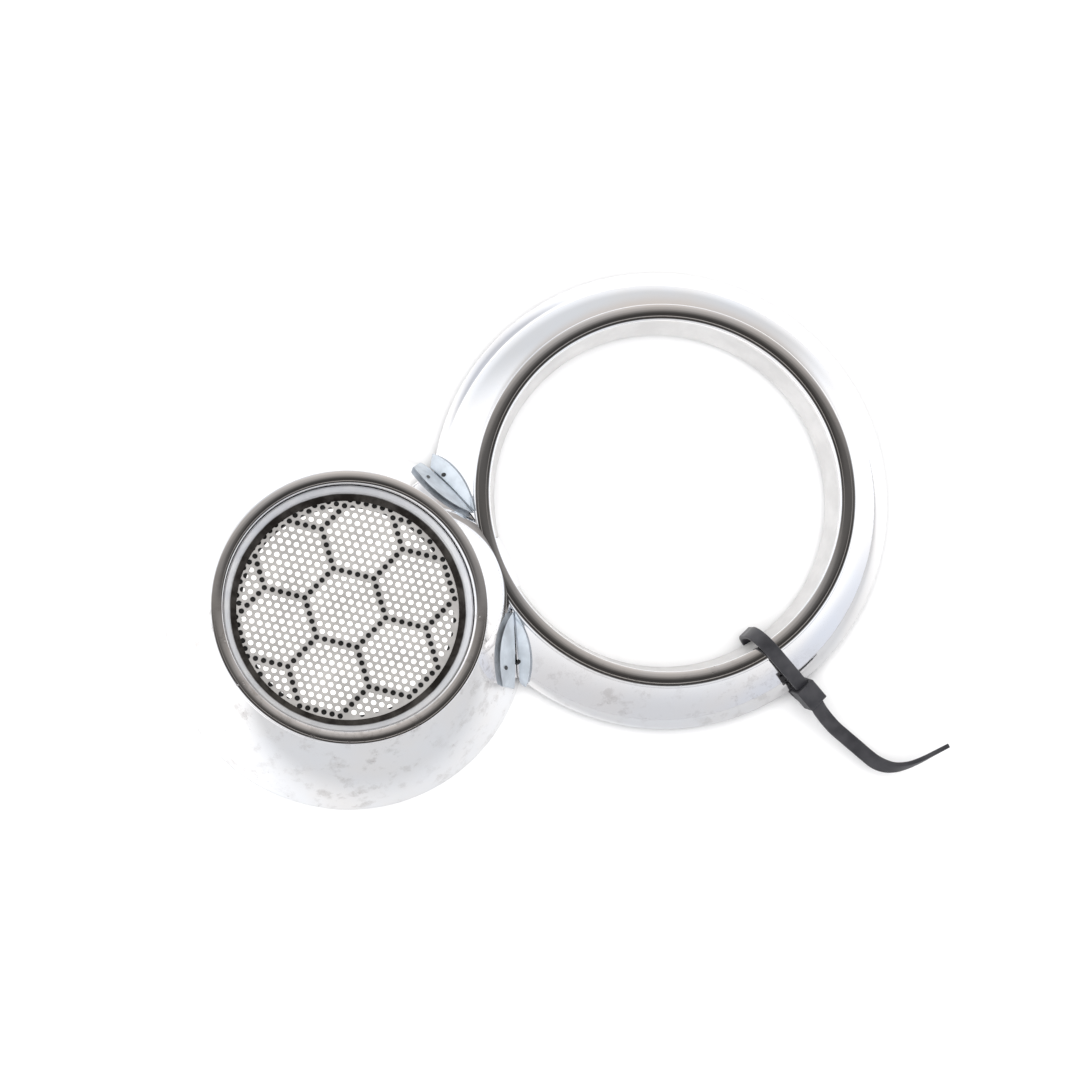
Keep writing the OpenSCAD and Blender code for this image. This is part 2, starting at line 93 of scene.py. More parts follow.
def make_camera():
    away = Vector((
        math.sin(rad(TILT)) * math.cos(rad(TILT_DIR)),
        math.sin(rad(TILT)) * math.sin(rad(TILT_DIR)),
        math.cos(rad(TILT)),
    ))
    right = Vector((0, 1, 0)).cross(away).normalized()
    up = away.cross(right)
    turn = Matrix((PICTURE_TURN @ right, PICTURE_TURN @ up, PICTURE_TURN @ away)).transposed()
    data = bpy.data.cameras.new("camera")
    data.sensor_width = 36
    data.lens = 36 * CAMERA_DISTANCE / FIELD
    data.clip_start, data.clip_end = 0.1, 20
    cam = bpy.data.objects.new("camera", data)
    cam.matrix_world = turn.to_4x4()
    cam.location = AIM + CAMERA_DISTANCE * (PICTURE_TURN @ away)
    scene.collection.objects.link(cam)
    scene.camera = cam


make_camera()


# ---- sizes, in millimetres ----
POD_OFFSET = 85.3
POD_LEAN, POD_LEAN_DIR = 5.0, 106.0
POD = (
    Matrix.Translation((-POD_OFFSET, 0, 0))
    @ Matrix.Rotation(rad(POD_LEAN_DIR), 4, "Z")
    @ Matrix.Rotation(rad(POD_LEAN), 4, "Y")
    @ Matrix.Rotation(rad(-POD_LEAN_DIR), 4, "Z")
)
POD_BACK = POD.inverted()
POD_AXIS = POD.to_3x3() @ Vector((0, 0, 1))
POD_SIDE = ((47.0, -6.0), (34.4, 20.85), 1.2)
POD_WALL = 2.2
SEAT_R, SHELF_R = 31.4, 28.5
SHELF_H, SHELF_T = 13.0, 1.6
EAR_R, COVER_LUG_R = 34.4, 38.6
POD_LIP = dict(mid_r=32.7, crest=22.0, half=1.7, crown=3.7, edge=0.4)
RING_FOOT, RING_TOP, RING_BULGE = (57.2, 3.4), (48.1, 11.2), 0.9
RING_LIP = dict(mid_r=46.0, crest=12.5, half=2.1, crown=4.6, edge=0.4)
RING_BACK = 2.0
BOSS_CIRCLE_R = 50.5
POD_GAP = 0.15
GRILLE_H, GRILLE_T, STACK_R = 17.0, 0.7, 31.1
# Outside this radius the bezel is its bright chamfer, and inside it its wall, dark with painted shade.
BEZEL_WALL_R, BEZEL_BLEND = 28.9, 0.4
HOLE_PITCH, HOLE_D, ROW_DIR = 2.05, 1.36, -35.75
GRID_SHIFT = (-0.32, 0.83)


# ---- shader helpers ----
class Nodes:
    """A short way to add and link shader nodes."""

    def __init__(self, tree):
        self.tree = tree
        tree.nodes.clear()

    def add(self, kind, **values):
        node = self.tree.nodes.new(kind)
        for name, value in values.items():
            setattr(node, name, value)
        return node

    def link(self, a, b):
        self.tree.links.new(a, b)

    def feed(self, socket, value):
        if hasattr(value, "is_linked"):
            self.link(value, socket)
        else:
            socket.default_value = value

    def math(self, op, a, b=0.0, c=None):
        node = self.add("ShaderNodeMath", operation=op)
        self.feed(node.inputs[0], a)
        self.feed(node.inputs[1], b)
        if c is not None:
            node.inputs[2].default_value = c
        return node.outputs[0]

    def mix(self, share, a, b):
        node = self.add("ShaderNodeMix", data_type="RGBA")
        self.feed(node.inputs[0], share)
        self.feed(node.inputs[6], a)
        self.feed(node.inputs[7], b)
        return node.outputs[2]

    def ramp(self, value, *stops):
        """Maps a number through (place, number) stops, smoothly."""
        node = self.add("ShaderNodeValToRGB")
        node.color_ramp.interpolation = "EASE"
        while len(node.color_ramp.elements) < len(stops):
            node.color_ramp.elements.new(0.5)
        for element, (place, level) in zip(node.color_ramp.elements, stops):
            element.position = place
            element.color = (level, level, level, 1)
        self.feed(node.inputs[0], value)
        return node.outputs[0]

    def noise(self, size, detail=3.0, rough=0.55, where=None):
        """Noise whose features are about size metres across."""
        node = self.add("ShaderNodeTexNoise")
        node.inputs["Scale"].default_value = 1 / size
        node.inputs["Detail"].default_value = detail
        node.inputs["Roughness"].default_value = rough
        self.link(self.place(where), node.inputs["Vector"])
        return node.outputs["Fac"]

    def place(self, where=None):
        """The surface point in metres, moved by where."""
        coord = self.add("ShaderNodeTexCoord").outputs["Object"]
        if where is None:
            return coord
        node = self.add("ShaderNodeMapping")
        node.inputs["Location"].default_value = where
        self.link(coord, node.inputs["Vector"])
        return node.outputs[0]

    def cells(self, size, where=None):
        node = self.add("ShaderNodeTexVoronoi", feature="F1")
        node.inputs["Scale"].default_value = 1 / size
        self.link(self.place(where), node.inputs["Vector"])
        return node.outputs["Distance"]

    def along(self, direction):
        """How far a surface point lies along a direction, in metres."""
        node = self.add("ShaderNodeVectorMath", operation="DOT_PRODUCT")
        self.link(self.place(), node.inputs[0])
        node.inputs[1].default_value = direction
        return node.outputs["Value"]

    def bump(self, height, depth, strength=1.0, under=None):
        node = self.add("ShaderNodeBump")
        node.inputs["Strength"].default_value = strength
        node.inputs["Distance"].default_value = depth
        self.link(height, node.inputs["Height"])
        if under is not None:
            self.link(under, node.inputs["Normal"])
        return node.outputs[0]


def material(name):
    """A new material with a Principled shader, ready for its nodes."""
    mat = bpy.data.materials.new(name)
    mat.use_nodes = True
    n = Nodes(mat.node_tree)
    out = n.add("ShaderNodeOutputMaterial")
    shader = n.add("ShaderNodeBsdfPrincipled")
    n.link(shader.outputs[0], out.inputs[0])
    return mat, n, shader


def grey(level, warm=0.0):
    return (level * (1 + warm), level, level * (1 - warm), 1)


# ---- materials ----
DOWN_PICTURE = picture(0, -1, 0)


def chrome(name, shade_from, shade_to):
    """Bright plating, cloudy in tone, with painted shade low in the picture: dark blotches and pits that
    stand in for the darker floor reflected there.
    """
    mat, n, s = material(name)
    s.inputs["Metallic"].default_value = 1.0
    cloud = n.noise(0.022, 4.0, 0.6, where=(0.3, 0.1, 0.2))
    fine = n.noise(0.0045, 5.0, 0.65, where=(0.1, 0.7, 0.4))
    # Painted shade: a share that grows from nothing to full further down the picture, standing in for the
    # darker floor reflected low on the plating.
    low_shade = n.ramp(
        n.math("MULTIPLY", n.math("SUBTRACT", n.along(DOWN_PICTURE), shade_from), 1 / (shade_to - shade_from)),
        (0.0, 0.0), (1.0, 1.0),
    )
    shade_blotches = n.math("MULTIPLY", n.ramp(fine, (0.50, 0.0), (0.66, 1.0)), low_shade)
    warm = n.ramp(cloud, (0.35, 0.0), (0.68, 1.0))
    tone = n.mix(warm, (0.955, 0.965, 0.985, 1), (0.965, 0.95, 0.94, 1))
    blotch_shade_share = n.math("MULTIPLY", shade_blotches, n.ramp(cloud, (0.36, 0.15), (0.62, 0.6)))
    tone = n.mix(blotch_shade_share, tone, (0.62, 0.595, 0.58, 1))
    # Pits only where the painted shade falls: their bump and roughness are surface detail, and their dark
    # colour is painted shade.
    pits_in_shade = n.math("MULTIPLY", n.ramp(n.cells(0.0016, where=(0.5, 0.2, 0)), (0.05, 1.0), (0.16, 0.0)), shade_blotches)
    tone = n.mix(n.math("MULTIPLY", pits_in_shade, 0.75), tone, (0.34, 0.31, 0.28, 1))
    n.link(tone, s.inputs["Base Color"])
    haze = n.math("MULTIPLY_ADD", n.ramp(n.noise(0.009, 5.0), (0.40, 0.0), (0.72, 1.0)), 0.04, 0.035)
    haze = n.math("ADD", haze, n.math("MULTIPLY", shade_blotches, 0.16))
    n.link(n.math("ADD", haze, n.math("MULTIPLY", pits_in_shade, 0.3)), s.inputs["Roughness"])
    flow = n.bump(n.noise(0.016, 2.0, 0.4), 0.00002)
    skin = n.bump(fine, 0.000012, under=flow)
    n.link(n.bump(n.math("SUBTRACT", 1.0, pits_in_shade), 0.00006, under=skin), s.inputs["Normal"])
    return mat


def satin(name, base, metallic, rough, vary=0.25, grain=0.0012, depth=0.00002, warm=0.0):
    """A moulded or drawn surface with mottled tone, uneven sheen and a fine grain."""
    mat, n, s = material(name)
    s.inputs["Metallic"].default_value = metallic
    broad = n.noise(0.008, 4.0, 0.6, where=(0.2, 0.4, 0.1))
    light = grey(min(1, base * (1 + vary)), warm)
    dark = grey(base * (1 - vary), warm)
    n.link(n.mix(n.ramp(broad, (0.32, 0.0), (0.70, 1.0)), dark, light), s.inputs["Base Color"])
    sheen = n.math("MULTIPLY_ADD", n.noise(0.003, 4.0, 0.6), 0.22, rough - 0.11)
    n.link(sheen, s.inputs["Roughness"])
    n.link(n.bump(n.noise(grain, 4.0, 0.6), depth), s.inputs["Normal"])
    return mat


def tinted(name, colour, metallic, rough, vary=0.2, grain=0.001, depth=0.00002):
    mat, n, s = material(name)
    s.inputs["Metallic"].default_value = metallic
    low = tuple(c * (1 - vary) for c in colour) + (1,)
    high = tuple(min(1, c * (1 + vary)) for c in colour) + (1,)
    n.link(n.mix(n.ramp(n.noise(0.006, 4.0), (0.3, 0.0), (0.7, 1.0)), low, high), s.inputs["Base Color"])
    sheen = n.math("MULTIPLY_ADD", n.noise(0.002, 3.0), 0.2, rough - 0.1)
    n.link(sheen, s.inputs["Roughness"])
    n.link(n.bump(n.noise(grain, 3.0), depth), s.inputs["Normal"])
    return mat


def cloth(name, base, glow=0.0, thread=0.00035):
    """Fine woven cloth. Its threads run along X and Y. A glow makes it give off painted light, standing in
    for light shining through from behind.
    """
    mat, n, s = material(name)
    weave = []
    for axis in ((1, 0, 0), (0, 1, 0)):
        wave = n.math("SINE", n.math("MULTIPLY", n.along(axis), 2 * math.pi / thread))
        weave.append(n.math("MULTIPLY", n.math("ADD", wave, 1.0), 0.5))
    height = n.math("MULTIPLY", weave[0], weave[1])
    n.link(n.mix(height, grey(base * 0.72), grey(base)), s.inputs["Base Color"])
    s.inputs["Roughness"].default_value = 0.9
    # Painted light: the emission stands in for light shining through the cloth from behind.
    if glow:
        s.inputs["Emission Color"].default_value = (1.0, 0.985, 0.965, 1)
        s.inputs["Emission Strength"].default_value = glow
    n.link(n.bump(height, 0.00006), s.inputs["Normal"])
    return mat


def tie_plastic(name):
    """Black nylon: smooth and slightly glossy, with a soft mottle and fine drag marks."""
    mat, n, s = material(name)
    mottle = n.ramp(n.noise(0.005, 4.0), (0.3, 0.0), (0.7, 1.0))
    n.link(n.mix(mottle, (0.022, 0.022, 0.026, 1), (0.046, 0.045, 0.05, 1)), s.inputs["Base Color"])
    sheen = n.math("MULTIPLY_ADD", n.noise(0.0025, 4.0), 0.22, 0.3)
    n.link(sheen, s.inputs["Roughness"])
    s.inputs["Specular IOR Level"].default_value = 0.62
    n.link(n.bump(n.noise(0.0011, 4.0, 0.65), 0.00002), s.inputs["Normal"])
    return mat


def recessed(name):
    """The bezel's plating: bright on its chamfer, and dark down its inner wall with painted shade of the
    recess.
    """
    mat, n, s = material(name)
    off = n.add("ShaderNodeVectorMath", operation="SUBTRACT")
    n.link(n.place(), off.inputs[0])
    off.inputs[1].default_value = MM * POD.translation
    cross = n.add("ShaderNodeVectorMath", operation="CROSS_PRODUCT")
    n.link(off.outputs[0], cross.inputs[0])
    cross.inputs[1].default_value = POD_AXIS
    reach = n.add("ShaderNodeVectorMath", operation="LENGTH")
    n.link(cross.outputs[0], reach.inputs[0])
    wobble = n.math("MULTIPLY", n.math("SUBTRACT", n.noise(0.004, 3.0), 0.5), 0.0002)
    past_wall = n.math("SUBTRACT", n.math("ADD", reach.outputs["Value"], wobble), BEZEL_WALL_R * MM)
    wall_shade_share = n.ramp(n.math("MULTIPLY", past_wall, 1 / (BEZEL_BLEND * MM)), (0.0, 1.0), (1.0, 0.0))
    cloud = n.ramp(n.noise(0.006, 4.0, 0.6), (0.35, 0.0), (0.7, 1.0))
    # Painted shade: the inner wall's near-black colour stands in for the shade down in the recess.
    wall = n.mix(cloud, (0.035, 0.03, 0.027, 1), (0.13, 0.12, 0.11, 1))
    bright = n.mix(cloud, (0.86, 0.87, 0.89, 1), (0.97, 0.97, 0.97, 1))
    n.link(n.mix(wall_shade_share, bright, wall), s.inputs["Base Color"])
    s.inputs["Metallic"].default_value = 1.0
    n.link(n.math("MULTIPLY_ADD", wall_shade_share, 0.12), s.inputs["Roughness"])
    n.link(n.bump(n.noise(0.003, 4.0, 0.6), 0.00002), s.inputs["Normal"])
    return mat


MAT = {
    "chrome_plate": chrome("pod_chrome", 0.018, 0.036),
    "ring_plate": chrome("ring_chrome", 0.030, 0.058),
    "bezel_chrome": recessed("bezel_chrome"),
    "grille_metal": satin("grille_metal", 0.52, 0.5, 0.42, 0.12, 0.0007, 0.000015, 0.03),
    "rib_plastic": satin("rib_plastic", 0.012, 0.0, 0.55),
    # The scrim's glow is painted light, standing in for light shining through it from behind.
    "scrim_cloth": cloth("scrim_cloth", 0.85, 1.1),
    "black_foam": satin("black_foam", 0.02, 0.0, 0.9, 0.3, 0.0008, 0.0001),
    "driver_plastic": satin("driver_plastic", 0.03, 0.0, 0.5),
    "screw_steel": satin("screw_steel", 0.58, 1.0, 0.32, 0.15, 0.0006),
    "dome_cloth": cloth("dome_cloth", 0.05),
    "surround_rubber": satin("surround_rubber", 0.025, 0.0, 0.6),
    "former_film": tinted("former_film", (0.45, 0.26, 0.08), 0.0, 0.4),
    "copper_wire": tinted("copper_wire", (0.72, 0.34, 0.16), 1.0, 0.35),
    "cup_steel": satin("cup_steel", 0.55, 1.0, 0.35, 0.15),
    "magnet": satin("magnet", 0.3, 1.0, 0.4, 0.15),
    "brass": tinted("brass", (0.78, 0.58, 0.28), 1.0, 0.32),
    "board": tinted("board", (0.02, 0.11, 0.05), 0.0, 0.4),
    "capacitor": tinted("capacitor", (0.42, 0.05, 0.02), 0.0, 0.4),
    "connector_nylon": tinted("connector_nylon", (0.80, 0.76, 0.66), 0.0, 0.5, 0.06),
    "cover_plastic": satin("cover_plastic", 0.028, 0.0, 0.58, 0.25, 0.0009, 0.00006),
    "sleeve_plastic": satin("sleeve_plastic", 0.66, 0.0, 0.35, 0.07, 0.003, 0.00002, 0.015),
    "spring_steel": satin("spring_steel", 0.42, 1.0, 0.38, 0.2),
    "flange_satin": tinted("flange_satin", (0.60, 0.65, 0.70), 0.2, 0.42, 0.16, 0.0012, 0.00004),
    "pin_dark": satin("pin_dark", 0.05, 0.6, 0.45),
    "tie_nylon": tie_plastic("tie_nylon"),
}
NODE_SLOT = {row["node"]: row["material_slot"] for row in frame["record"]["subparts"]}
NODE_BODY = {n: b for b, ns in frame["record"]["behaviour"]["bodies"].items() for n in ns}


# ---- mesh helpers ----
def sharpen(mesh, angle):
    mesh.shade_smooth()
    mesh.set_sharp_from_angle(angle=rad(angle))


def piece(name, verts, faces, node, sharp):
    """A new piece from points in metres that stands for a CAD node. Edges over sharp degrees stay sharp."""
    mesh = bpy.data.meshes.new(name)
    mesh.from_pydata([tuple(v) for v in verts], [], faces)
    mesh.validate()
    bm = bmesh.new()
    bm.from_mesh(mesh)
    bmesh.ops.recalc_face_normals(bm, faces=bm.faces)
    bm.to_mesh(mesh)
    bm.free()
    obj = bpy.data.objects.new(name, mesh)
    scene.collection.objects.link(obj)
    slot = NODE_SLOT[node]
    mesh.materials.append(MAT[slot])
    sharpen(mesh, sharp)
    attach(obj, NODE_BODY[node])
    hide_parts(node)
    return obj


def softened(node, width, segments=2, limit=30, clean=0.2):
    """A copy of a CAD node, with edges over limit degrees rounded off, which stands for the node."""
    source = frame["nodes"][node]
    bm = bmesh.new()
    bm.from_mesh(source.data)
    bmesh.ops.remove_doubles(bm, verts=bm.verts, dist=2e-6)
    bmesh.ops.dissolve_degenerate(bm, dist=1e-6, edges=bm.edges)
    bmesh.ops.dissolve_limit(
        bm, angle_limit=rad(clean), use_dissolve_boundaries=False, verts=bm.verts, edges=bm.edges
    )
    name = node + "_shaped"
    mesh = bpy.data.meshes.new(name)
    bm.to_mesh(mesh)
    bm.free()
    obj = bpy.data.objects.new(name, mesh)
    scene.collection.objects.link(obj)
    slot = NODE_SLOT[node]
    mesh.materials.clear()
    mesh.materials.append(MAT[slot])
    sharpen(mesh, 35.0)
    bevel = obj.modifiers.new("bevel", "BEVEL")
    bevel.width = width * MM
    bevel.segments = segments
    bevel.limit_method = "ANGLE"
    bevel.angle_limit = rad(limit)
    bevel.use_clamp_overlap = True
    bevel.harden_normals = True
    bevel.miter_outer = "MITER_ARC"
    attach(obj, NODE_BODY[node])
    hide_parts(node)
    return obj


def arc(mid, radius, start, end, steps):
    return [
        (mid[0] + radius * math.cos(rad(start + (end - start) * i / steps)),
         mid[1] + radius * math.sin(rad(start + (end - start) * i / steps)))
        for i in range(steps + 1)
    ]


def bulged(a, b, bulge, s):
    """Point at share s on the arc from a to b that stands out by bulge in the middle."""
    dx, dy = b[0] - a[0], b[1] - a[1]
    long = math.hypot(dx, dy)
    dx, dy = dx / long, dy / long
    radius = ((long / 2) ** 2 + bulge ** 2) / (2 * bulge)
    ox, oy = dy, -dx
    mx = (a[0] + b[0]) / 2 - ox * (radius - bulge)
    my = (a[1] + b[1]) / 2 - oy * (radius - bulge)
    turn = math.asin(long / 2 / radius) * (2 * s - 1)
    return (
        mx + radius * (math.cos(turn) * ox + math.sin(turn) * dx),
        my + radius * (math.cos(turn) * oy + math.sin(turn) * dy),
    )


def lip(mid_r, crest, half, crown, edge, steps=14):
    """Crowned lip from its outer edge over to its inner edge."""
    turn = math.degrees(math.asin((half - edge) / (crown - edge)))
    low = crest - crown + (crown - edge) * math.cos(rad(turn))
    outer = arc((mid_r + half - edge, low), edge, 0, 90 - turn, 6)
    top = arc((mid_r, crest - crown), crown, 90 - turn, 90 + turn, steps)
    inner = arc((mid_r - half + edge, low), edge, 90 + turn, 180, 6)
    return outer + top[1:-1] + inner


def turned(place, r, angle, h):
    """Point at radius r and height h, at an angle round the axis of place. Millimetres in, metres out."""
    return MM * (place @ Vector((r * math.cos(angle), r * math.sin(angle), h)))


def revolve(profiles):
    """Faces that join equal closed outlines of points, one for each step, round a full turn."""
    verts, faces = [], []
    count = len(profiles[0])
    for ring in profiles:
        verts.extend(ring)
    turns = len(profiles)
    for i in range(turns):
        j = (i + 1) % turns
        for k in range(count):
            m = (k + 1) % count
            faces.append((i * count + k, i * count + m, j * count + m, j * count + k))
    return verts, faces


def spin(profile, place, turns):
    """A ring of the (r, h) profile, in metres, placed by a 4x4 matrix in millimetres."""
    rings = []
    for i in range(turns):
        a = 2 * math.pi * i / turns
        rings.append([turned(place, r, a, h) for r, h in profile])
    return revolve(rings)


# ---- pod outline ----
def pod_side_radius(h, grow):
    """Radius of the pod's outside, grown outwards, at height h on its own axis."""
    a, b, bulge = POD_SIDE
    dx, dy = b[0] - a[0], b[1] - a[1]
    long = math.hypot(dx, dy)
    radius = ((long / 2) ** 2 + bulge ** 2) / (2 * bulge)
    mx = (a[0] + b[0]) / 2 - dy / long * (radius - bulge)
    my = (a[1] + b[1]) / 2 + dx / long * (radius - bulge)
    return mx + math.sqrt(radius ** 2 - (h - my) ** 2) + grow


# ---- pod housing ----
def foot_share(angle, shift):
    """Share along the pod's side where it meets the resting plane, at an angle round the pod."""
    low, high = 0.0, 0.6
    for _ in range(30):
        mid = (low + high) / 2
        r, h = bulged(*POD_SIDE, mid)
        z = (POD @ Vector(((r - shift) * math.cos(angle), (r - shift) * math.sin(angle), h))).z
        low, high = (mid, high) if z < 0 else (low, mid)
    return high


def pod_shell():
    turns, steps = 512, 44
    shelf_top, shelf_low = SHELF_H + SHELF_T, SHELF_H
    inside = lip(**POD_LIP) + [
        (31.0, 20.0), (31.08, 19.86), (SEAT_R, 19.6), (SEAT_R, shelf_top), (SHELF_R, shelf_top),
        (SHELF_R, shelf_low), (SEAT_R + 2, shelf_low), (SEAT_R + 2, 17.2),
    ]
    rings = []
    for i in range(turns):
        a = 2 * math.pi * i / turns
        out0, in0 = foot_share(a, 0.0), foot_share(a, POD_WALL)
        ring = [bulged(*POD_SIDE, out0 + (1 - out0) * k / steps) for k in range(steps + 1)]
        ring[0] = (ring[0][0] - 0.25, ring[0][1])
        ring.insert(1, bulged(*POD_SIDE, out0 + 0.009))
        ring += inside
        for k in range(16):
            r, h = bulged(*POD_SIDE, in0 + (0.83 - in0) * (1 - k / 15))
            ring.append((r - POD_WALL, h))
        rings.append([turned(POD, r, a, h) for r, h in ring])
    verts, faces = revolve(rings)
    # Screw bosses inside, clear of everything that shows.
    for place, r, low in boss_places():
        top = 12.0
        start = len(verts)
        count = 20
        for level in (low, None):
            for k in range(count):
                b = 2 * math.pi * k / count
                p = place @ Vector((r * math.cos(b), r * math.sin(b), low))
                if level is None:
                    p = roof_point(p, low, top)
                verts.append(MM * p)
        for k in range(count):
            m = (k + 1) % count
            faces.append((start + k, start + m, start + count + m, start + count + k))
        faces.append(tuple(start + count + k for k in range(count)))
        faces.append(tuple(start + k for k in reversed(range(count))))
    return piece("pod_shell", verts, faces, "pod_housing", 28)


def boss_places():
    """Place, radius and low end of the driver's and the rear cover's bosses."""
    found = []
    for a in (90, 210, 330):
        turn = POD @ Matrix.Rotation(rad(a), 4, "Z")
        found.append((turn @ Matrix.Translation((EAR_R, 0, 0)), 2.2, 12.5))
    for a in (30, 140, 290):
        turn = Matrix.Translation((-POD_OFFSET, 0, 0)) @ Matrix.Rotation(rad(a), 4, "Z")
        found.append((turn @ Matrix.Translation((COVER_LUG_R, 0, 0)), 2.4, 2.85))
    return found


def roof_point(p, low, tall):
    """Lifts a point of a boss up to just under the pod's outside."""
    rise = tall
    while rise > 0.3:
        q = POD_BACK @ (p + Vector((0, 0, rise)))
        if math.hypot(q.x, q.y) < pod_side_radius(q.z, -0.6) and q.z < 16.5:
            break
        rise -= 0.25
    return p + Vector((0, 0, rise))


pod_shell()


# ---- trim ring ----
def ring_out(s):
    """The ring's outside from its back edge (0) up to the lip (1)."""
    if s < 0.08:
        return (RING_FOOT[0], RING_BACK + (RING_FOOT[1] - RING_BACK) * s / 0.08)
    return bulged(RING_FOOT, RING_TOP, RING_BULGE, (s - 0.08) / 0.92)


def ring_in(s):
    """The hollow side of the ring's wall, from its back edge up to the lip."""
    if s < 0.04:
        return (RING_FOOT[0] - 1.8 + 0.1 * s / 0.04, RING_BACK + 0.4 * s / 0.04)
    r, z = bulged(RING_FOOT, RING_TOP, RING_BULGE, (s - 0.04) / 0.96 * 0.86)
    return (r - 1.7, z - 1.0)


def clear_of_pod(r, z, a):
    """How far a point of the ring stands out of the pod's outline, grown by the gap between them."""
    q = POD_BACK @ Vector((r * math.cos(a), r * math.sin(a), z))
    return math.hypot(q.x, q.y) - pod_side_radius(q.z, POD_GAP)


def clear_share(path, a):
    """Share along the path where it comes out of the pod, or 0 where it never meets it."""
    if clear_of_pod(*path(0.0), a) > 0 and clear_of_pod(*path(0.1), a) > 0:
        return 0.0
    low, high = 0.0, 1.0
    if clear_of_pod(*path(1.0), a) < 0:
        return 1.0
    for _ in range(32):
        mid = (low + high) / 2
        low, high = (mid, high) if clear_of_pod(*path(mid), a) < 0 else (low, mid)
    return high


def trim_ring():
    turns, steps = 1024, 34
    over = lip(**RING_LIP)
    tail = [(43.9, 8.4), (44.02, 8.2), (45.2, 8.2), (45.3, 8.3), (45.3, 8.8), (46.6, 9.3)]
    rings = []
    for i in range(turns):
        a = 2 * math.pi * i / turns
        out0, in0 = clear_share(ring_out, a), clear_share(ring_in, a)
        ring = [ring_out(out0 + (1 - out0) * k / steps) for k in range(steps + 1)]
        if out0 == 0.0:
            ring[0] = (ring[0][0] - 0.22, ring[0][1])
            ring[1] = (RING_FOOT[0], RING_BACK + 0.22)
        ring += over + tail
        ring += [ring_in(in0 + (1 - in0) * (1 - k / 20)) for k in range(21)]
        rings.append([MM * Vector((r * math.cos(a), r * math.sin(a), z)) for r, z in ring])
    verts, faces = revolve(rings)
    for a in (0, 120, 240):
        boss(verts, faces, Matrix.Rotation(rad(a), 4, "Z") @ Matrix.Translation((BOSS_CIRCLE_R, 0, 0)))
    return piece("ring_shell", verts, faces, "trim_ring", 28)


def boss(verts, faces, place):
    """A screw boss with its pilot hole, from the resting plane up into the ring."""
    levels = [(1.4, 6.5), (1.4, 0.25), (1.65, 0.0), (2.8, 0.0), (3.0, 0.2), (3.0, 7.4), (0.02, 7.4)]
    start, count = len(verts), 40
    for r, z in levels:
        for k in range(count):
            b = 2 * math.pi * k / count
            verts.append(MM * (place @ Vector((r * math.cos(b), r * math.sin(b), z))))
    for row in range(len(levels) - 1):
        for k in range(count):
            m = (k + 1) % count
            faces.append((start + row * count + k, start + row * count + m,
                          start + (row + 1) * count + m, start + (row + 1) * count + k))
    faces.append(tuple(start + k for k in range(count)))


trim_ring()


# ---- grille: bezel, punched sheet, ribs, scrim ----
def bezel():
    profile = [(31.1, 17.74), (31.1, 19.3), (30.9, 19.6), (30.85, 20.0)]
    profile += arc((30.6, 20.02), 0.25, 10, 125, 8)
    profile += [bulged((30.4, 20.2), (29.5, 19.45), 0.03, k / 8) for k in range(1, 8)]
    profile += arc((29.62, 19.2), 0.3, 130, 200, 6)
    profile += [(29.1, 18.8), (28.6, 18.45), (28.0, 18.2), (27.6, 18.02)]
    profile += arc((27.55, 17.86), 0.12, 110, 250, 6)
    return piece("bezel_ring", *spin(profile, POD, 360), "grille_bezel", 40)


bezel()


def hole_centres():
    turn = rad(ROW_DIR)
    for i in range(-20, 21):
        for j in range(-20, 21):
            u = HOLE_PITCH * (i + j * 0.5)
            v = HOLE_PITCH * j * math.sin(rad(60))
            if math.hypot(u, v) < 27.2:
                yield (
                    GRID_SHIFT[0] + u * math.cos(turn) - v * math.sin(turn),
                    GRID_SHIFT[1] + u * math.sin(turn) + v * math.cos(turn),
                )


def punched_sheet():
    """The grille sheet: two flat faces with round holes, whose rims are drawn in slightly."""
    sides = 20
    top_r, hole_r = HOLE_D / 2 + 0.07, HOLE_D / 2
    flat, loops = [], []

    def loop(points):
        start = len(flat)
        flat.extend(points)
        loops.append(list(range(start, start + len(points))))

    loop(arc((0, 0), STACK_R, 0, 360, 160)[:-1])
    centres = list(hole_centres())
    for centre in centres:
        loop(arc(centre, top_r, 0, 360, sides)[:-1])
    edges = [(lp[k], lp[(k + 1) % len(lp)]) for lp in loops for k in range(len(lp))]
    points, _, tris, came_from, *_ = delaunay_2d_cdt([Vector(p) for p in flat], edges, [], 0, 1e-7)
    holes = np.array(centres)
    solid = []
    for tri in tris:
        mid = sum((points[i] for i in tri), Vector((0, 0))) / len(tri)
        # A triangle inside a hole has its middle within the hole's 20 sides.
        if np.hypot(holes[:, 0] - mid.x, holes[:, 1] - mid.y).min() < top_r * 0.984:
            continue
        if mid.length < STACK_R:
            solid.append(tri)
    verts, faces = [], []
    low, high = GRILLE_H, GRILLE_H + GRILLE_T
    count = len(points)
    for level in (high, low):
        for p in points:
            verts.append(MM * (POD @ Vector((p.x, p.y, level))))
    for tri in solid:
        faces.append(tuple(tri))
        faces.append(tuple(count + i for i in reversed(tri)))
    now_at = {old: new for new, olds in enumerate(came_from) for old in olds}
    index = [[now_at[i] for i in lp] for lp in loops]
    rim = index[0]
    for k in range(len(rim)):
        m = (k + 1) % len(rim)
        faces.append((rim[k], rim[m], count + rim[m], count + rim[k]))
    for (x, y), lp in zip(centres, index[1:]):
        start = len(verts)
        for drop in (0.07, GRILLE_T - 0.07):
            for px, py in arc((x, y), hole_r, 0, 360, sides)[:-1]:
                verts.append(MM * (POD @ Vector((px, py, high - drop))))
        for k in range(sides):
            m = (k + 1) % sides
            faces.append((lp[k], lp[m], start + m, start + k))
            faces.append((start + k, start + m, start + sides + m, start + sides + k))
            faces.append((start + sides + k, start + sides + m, count + lp[m], count + lp[k]))
    return piece("grille_sheet", verts, faces, "grille_mesh", 40)


